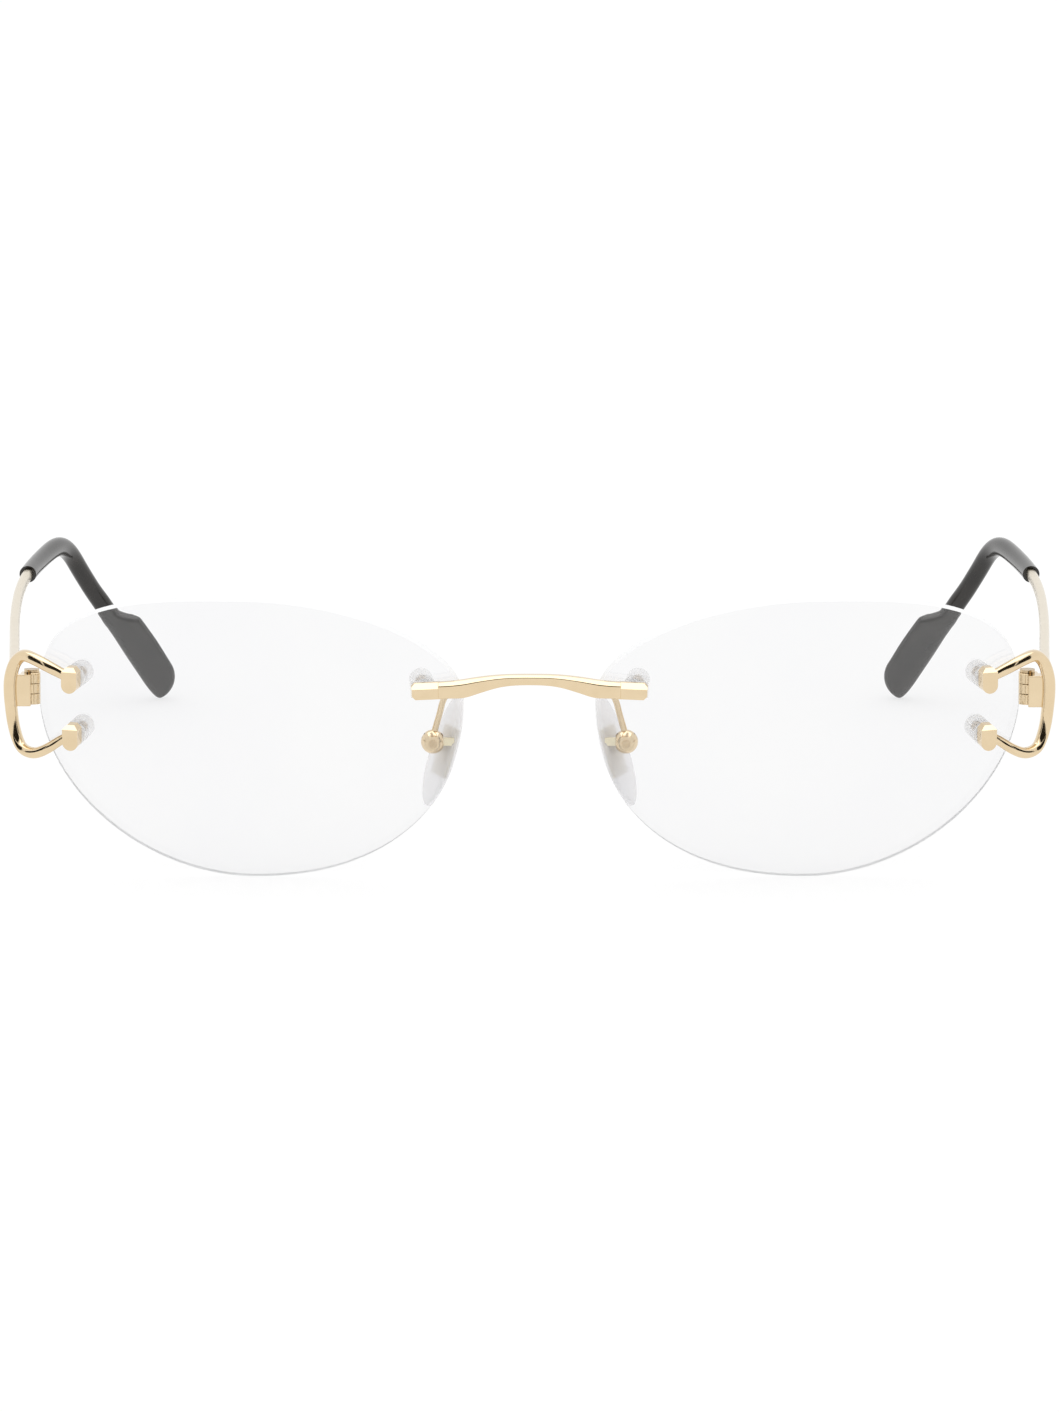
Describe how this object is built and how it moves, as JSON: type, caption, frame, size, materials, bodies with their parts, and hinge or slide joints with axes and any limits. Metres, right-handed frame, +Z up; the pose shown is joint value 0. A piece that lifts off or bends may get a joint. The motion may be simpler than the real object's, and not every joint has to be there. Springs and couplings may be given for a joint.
{
  "type": "rimless eyeglasses",
  "caption": "Rimless eyeglasses with oval clear lenses, a slim gold metal bridge, bracket end pieces, clear nose pads and folding wire temples with black tips.",
  "frame": {"origin": "middle of the bottom of the bounding box, on the surface the glasses stand on", "axes": "+X to the wearer's left, -Y the way the glasses face, +Z up"},
  "size_m": [0.1452, 0.1282, 0.0379],
  "materials": {
    "gold_metal": "polished pale gold plating",
    "screw_metal": "polished, slightly darker gold",
    "clear_lens": "clear, optically polished",
    "clear_plastic": "clear, slightly milky",
    "pad_plastic": "soft, clear to milky",
    "black_tip": "glossy black"
  },
  "bodies": {
    "front": {"bridge": "gold_metal", "bridge_block_left": "gold_metal", "bridge_block_right": "gold_metal", "lens_left": "clear_lens", "lens_right": "clear_lens", "end_piece_left": "gold_metal", "end_piece_right": "gold_metal", "end_posts_left": "gold_metal", "end_posts_right": "gold_metal", "end_washers_left": "clear_plastic", "end_washers_right": "clear_plastic", "end_sleeves_left": "clear_plastic", "end_sleeves_right": "clear_plastic", "bridge_washer_left": "clear_plastic", "bridge_washer_right": "clear_plastic", "bridge_sleeve_left": "clear_plastic", "bridge_sleeve_right": "clear_plastic", "pad_arm_left": "gold_metal", "pad_arm_right": "gold_metal", "pad_box_left": "gold_metal", "pad_box_right": "gold_metal", "pad_screw_left": "screw_metal", "pad_screw_right": "screw_metal", "hinge_block_left": "gold_metal", "hinge_block_right": "gold_metal", "hinge_screw_left": "screw_metal", "hinge_screw_right": "screw_metal"},
    "temple_left": {"hinge_leaf_left": "gold_metal", "temple_wire_left": "gold_metal", "temple_tip_left": "black_tip"},
    "pad_left": {"pad_insert_left": "gold_metal", "nose_pad_left": "pad_plastic"},
    "temple_right": {"hinge_leaf_right": "gold_metal", "temple_wire_right": "gold_metal", "temple_tip_right": "black_tip"},
    "pad_right": {"pad_insert_right": "gold_metal", "nose_pad_right": "pad_plastic"}
  },
  "joints": [
    {"name": "left_temple_fold", "type": "hinge", "parent": "front", "child": "temple_left", "pos_m": [0.0661, -0.0507, 0.0241], "axis": [0, 0, 1], "range_deg": [0, 84]},
    {"name": "right_temple_fold", "type": "hinge", "parent": "front", "child": "temple_right", "pos_m": [-0.0661, -0.0507, 0.0241], "axis": [0, -0.0523, -0.9986], "range_deg": [0, 84]},
    {"name": "left_pad_rock", "type": "hinge", "parent": "front", "child": "pad_left", "pos_m": [0.01285, -0.0561, 0.0181], "axis": [0, 1, 0], "range_deg": [-10, 10]},
    {"name": "right_pad_rock", "type": "hinge", "parent": "front", "child": "pad_right", "pos_m": [-0.01285, -0.0561, 0.0181], "axis": [0, -1, 0], "range_deg": [-10, 10]}
  ]
}
